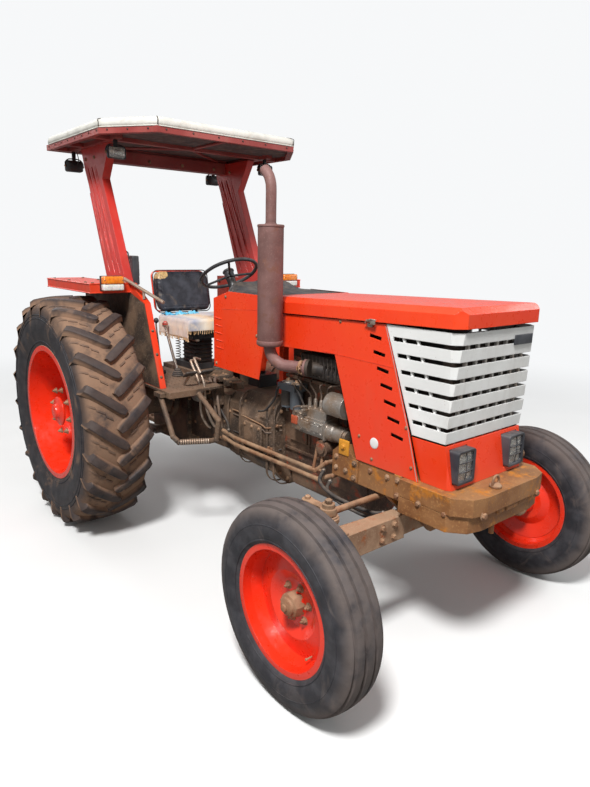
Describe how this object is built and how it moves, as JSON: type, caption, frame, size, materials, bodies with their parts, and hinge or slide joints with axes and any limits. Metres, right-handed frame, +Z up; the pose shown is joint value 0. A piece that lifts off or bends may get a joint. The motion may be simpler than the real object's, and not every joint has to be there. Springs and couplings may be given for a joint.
{
  "type": "vintage farm tractor with open engine bay and flat sun canopy",
  "caption": "Vintage two-wheel-drive farm tractor, orange-red, with white barred grille, upright exhaust, flat canopy on posts, front weights and rear three-point linkage.",
  "frame": {"origin": "on the ground, at the middle of the overall length and width", "axes": "+X forward, +Y to the driver's left, +Z up"},
  "size_m": [3.8078, 2.26, 2.6883],
  "materials": {
    "body_paint": "satin",
    "frame_paint": "satin",
    "rim_paint": "satin",
    "grille_paint": "satin",
    "cast_housing": "rough",
    "rusty_steel": "rough",
    "exhaust_steel": "matte",
    "pump_metal": "rough",
    "link_steel": "rough",
    "black_plastic": "matte",
    "black_paint": "satin",
    "lens": "glossy",
    "roof_pad": "satin",
    "seat_vinyl": "satin",
    "throw_cloth": "soft",
    "tyre_rubber": "matte"
  },
  "bodies": {
    "chassis": {"transmission": "cast_housing", "engine": "cast_housing", "exhaust_manifold": "exhaust_steel", "exhaust_stack": "exhaust_steel", "injection_pump": "pump_metal", "fuel_filters": "black_paint", "alternator": "pump_metal", "fluid_pipes": "rusty_steel", "radiator": "black_paint", "front_frame": "rusty_steel", "front_weights": "rusty_steel", "front_axle": "rusty_steel", "side_panels": "body_paint", "nose": "body_paint", "grille": "grille_paint", "headlamps": "black_plastic", "cowl": "body_paint", "dash": "black_plastic", "steering_column": "black_paint", "fenders": "body_paint", "posts": "frame_paint", "canopy_frame": "frame_paint", "canopy_pad": "roof_pad", "work_lamps": "black_plastic", "indicators": "lens", "grab_handles": "link_steel", "platform": "rusty_steel", "seat_frame": "black_paint", "seat_cushion": "seat_vinyl", "seat_backrest": "seat_vinyl", "seat_throw": "throw_cloth", "controls": "link_steel", "drawbar": "rusty_steel"},
    "hood": {"hood": "body_paint"},
    "steering_wheel": {"steering_wheel": "black_plastic"},
    "knuckle_right": {"knuckle_right": "rusty_steel"},
    "knuckle_left": {"knuckle_left": "rusty_steel"},
    "tie_rod": {"tie_rod": "link_steel"},
    "rear_wheel_right": {"rear_rim_right": "rim_paint", "rear_tyre_right": "tyre_rubber"},
    "rear_wheel_left": {"rear_rim_left": "rim_paint", "rear_tyre_left": "tyre_rubber"},
    "front_wheel_right": {"front_rim_right": "rim_paint", "front_tyre_right": "tyre_rubber"},
    "front_wheel_left": {"front_rim_left": "rim_paint", "front_tyre_left": "tyre_rubber"},
    "lower_links": {"lower_links": "link_steel"},
    "lift_arms": {"lift_arms": "rusty_steel"},
    "lift_rods": {"lift_rods": "link_steel"}
  },
  "joints": [
    {"name": "rear_wheel_right_spin", "type": "hinge", "parent": "chassis", "child": "rear_wheel_right", "pos_m": [-0.93013, -0.915, 0.784], "axis": [0, 1, 0], "continuous": true},
    {"name": "rear_wheel_left_spin", "type": "hinge", "parent": "chassis", "child": "rear_wheel_left", "pos_m": [-0.93013, 0.915, 0.784], "axis": [0, 1, 0], "continuous": true},
    {"name": "steer_right", "type": "hinge", "parent": "chassis", "child": "knuckle_right", "pos_m": [1.46987, -0.735, 0.632], "axis": [0, 0, 1], "range_deg": [-42, 42]},
    {"name": "steer_left", "type": "hinge", "parent": "chassis", "child": "knuckle_left", "pos_m": [1.46987, 0.735, 0.632], "axis": [0, 0, 1], "range_deg": [-42, 42]},
    {"name": "tie_rod_pivot", "type": "hinge", "parent": "knuckle_right", "child": "tie_rod", "pos_m": [1.33587, -0.735, 0.726], "axis": [0, 0, 1], "range_deg": [-42, 42]},
    {"name": "front_wheel_right_spin", "type": "hinge", "parent": "knuckle_right", "child": "front_wheel_right", "pos_m": [1.46987, -0.915, 0.448], "axis": [0, 1, 0], "continuous": true},
    {"name": "front_wheel_left_spin", "type": "hinge", "parent": "knuckle_left", "child": "front_wheel_left", "pos_m": [1.46987, 0.915, 0.448], "axis": [0, 1, 0], "continuous": true},
    {"name": "steering_wheel_turn", "type": "hinge", "parent": "chassis", "child": "steering_wheel", "pos_m": [-0.38313, 0, 1.727], "axis": [-0.515, 0, 0.8572], "range_deg": [-630, 630]},
    {"name": "hood_hinge", "type": "hinge", "parent": "chassis", "child": "hood", "pos_m": [0.49387, 0, 1.62236], "axis": [0, -1, 0], "range_deg": [0, 48]},
    {"name": "lower_links_lift", "type": "hinge", "parent": "chassis", "child": "lower_links", "pos_m": [-1.01413, 0, 0.5], "axis": [0, 1, 0], "range_deg": [-8, 32]},
    {"name": "lift_arms_turn", "type": "hinge", "parent": "chassis", "child": "lift_arms", "pos_m": [-1.12013, 0, 0.9], "axis": [0, 1, 0], "range_deg": [-8, 32]},
    {"name": "lift_rods_swing", "type": "hinge", "parent": "lift_arms", "child": "lift_rods", "pos_m": [-1.41721, 0, 0.85825], "axis": [0, 1, 0], "range_deg": [-32, 8]}
  ],
  "couplings": [
    {"joint": "steer_left", "follows": "steer_right", "ratio": 1},
    {"joint": "tie_rod_pivot", "follows": "steer_right", "ratio": -1},
    {"joint": "steering_wheel_turn", "follows": "steer_right", "ratio": 15},
    {"joint": "lift_arms_turn", "follows": "lower_links_lift", "ratio": 1},
    {"joint": "lift_rods_swing", "follows": "lower_links_lift", "ratio": -1}
  ]
}
